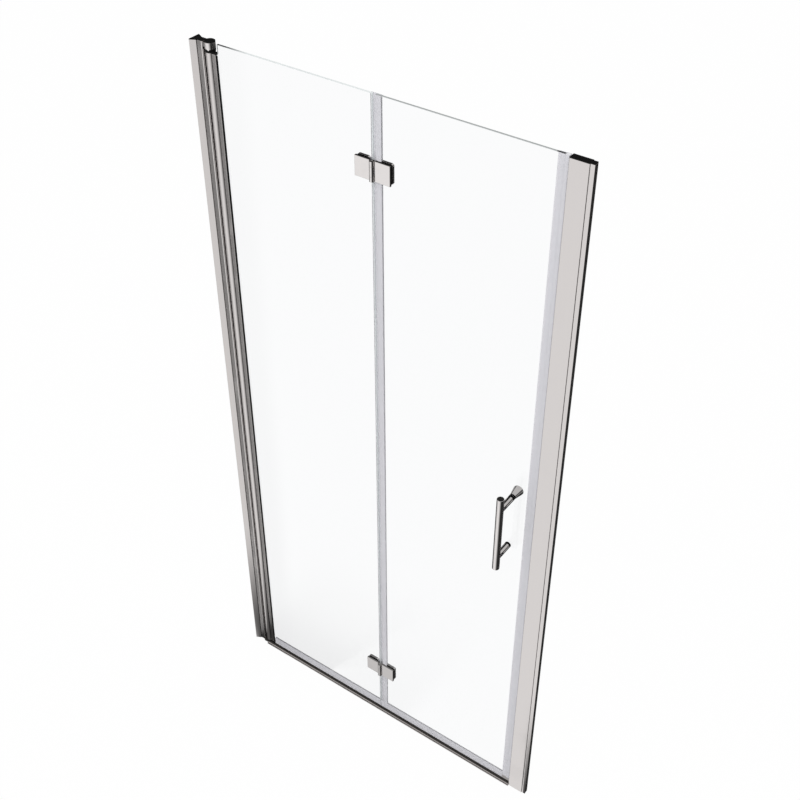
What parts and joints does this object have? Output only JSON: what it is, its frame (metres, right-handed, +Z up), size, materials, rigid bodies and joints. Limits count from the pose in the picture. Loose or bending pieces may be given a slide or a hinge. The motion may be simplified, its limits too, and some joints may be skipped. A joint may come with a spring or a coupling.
{
  "type": "bi-fold pivot shower door",
  "caption": "Frameless bi-fold pivot shower door for a niche: clear glass leaves joined by glass hinges, a pivot tube at the wall post, magnetic closing edge, low sill and a bar handle.",
  "frame": {"origin": "on the tray, under the middle of the opening, at the middle of the glass", "axes": "+X from the hinge wall to the strike wall, +Y from the dry side into the shower, +Z up"},
  "size_m": [1, 0.097, 2.002],
  "materials": {
    "bright_aluminium": "bright polished, chrome look",
    "chrome": "bright chrome",
    "steel": "stainless steel",
    "black_plastic": "black moulded plastic",
    "black_rubber": "black rubber",
    "glass": "clear toughened glass with polished edges",
    "clear_seal": "translucent soft PVC",
    "magnet": "flexible magnet strip"
  },
  "bodies": {
    "frame": {"hinge_wall_channel": "bright_aluminium", "hinge_post": "bright_aluminium", "hinge_frame_cap": "black_plastic", "post_seal_strip": "black_rubber", "hinge_side_screws": "steel", "top_pivot_block": "chrome", "top_pivot_cover": "black_plastic", "top_pivot_bush": "black_plastic", "top_pivot_pin": "steel", "pivot_block_screws": "steel", "threshold_sill": "bright_aluminium", "bottom_pivot_block": "black_plastic", "bottom_pivot_pin": "steel", "bottom_pivot_washer": "black_plastic", "strike_wall_channel": "bright_aluminium", "strike_profile": "bright_aluminium", "strike_magnet": "magnet", "strike_frame_cap": "black_plastic", "strike_side_screws": "steel"},
    "pivot_leaf": {"pivot_tube": "bright_aluminium", "tube_top_cap": "black_plastic", "tube_bottom_cap": "black_plastic", "glass_gasket": "black_rubber", "pivot_glass": "glass", "pivot_bottom_seal": "clear_seal", "upper_hinge_pivot_plate": "chrome", "upper_hinge_pivot_clamp": "chrome", "upper_hinge_pivot_pads": "black_rubber", "upper_hinge_pivot_screws": "steel", "upper_hinge_bush": "black_plastic", "lower_hinge_pivot_plate": "chrome", "lower_hinge_pivot_clamp": "chrome", "lower_hinge_pivot_pads": "black_rubber", "lower_hinge_pivot_screws": "steel", "lower_hinge_bush": "black_plastic"},
    "folding_leaf": {"folding_glass": "glass", "fold_seal": "clear_seal", "folding_bottom_seal": "clear_seal", "magnet_seal": "clear_seal", "leaf_magnet": "magnet", "handle_bar": "chrome", "handle_upper_post": "chrome", "handle_lower_post": "chrome", "handle_studs": "steel", "handle_washers": "black_rubber", "handle_foot_pad": "black_rubber", "handle_knob": "chrome", "upper_hinge_fold_plate": "chrome", "upper_hinge_fold_clamp": "chrome", "upper_hinge_fold_pads": "black_rubber", "upper_hinge_fold_screws": "steel", "upper_hinge_pin": "steel", "lower_hinge_fold_plate": "chrome", "lower_hinge_fold_clamp": "chrome", "lower_hinge_fold_pads": "black_rubber", "lower_hinge_fold_screws": "steel", "lower_hinge_pin": "steel"}
  },
  "joints": [
    {"name": "leaf_pivot", "type": "hinge", "parent": "frame", "child": "pivot_leaf", "pos_m": [-0.453, 0.003, 1], "axis": [0, 0, 1], "range_deg": [0, 90]},
    {"name": "leaf_fold", "type": "hinge", "parent": "pivot_leaf", "child": "folding_leaf", "pos_m": [-0.007, -0.0105, 1], "axis": [0, 0, 1], "range_deg": [-170, 0]}
  ]
}
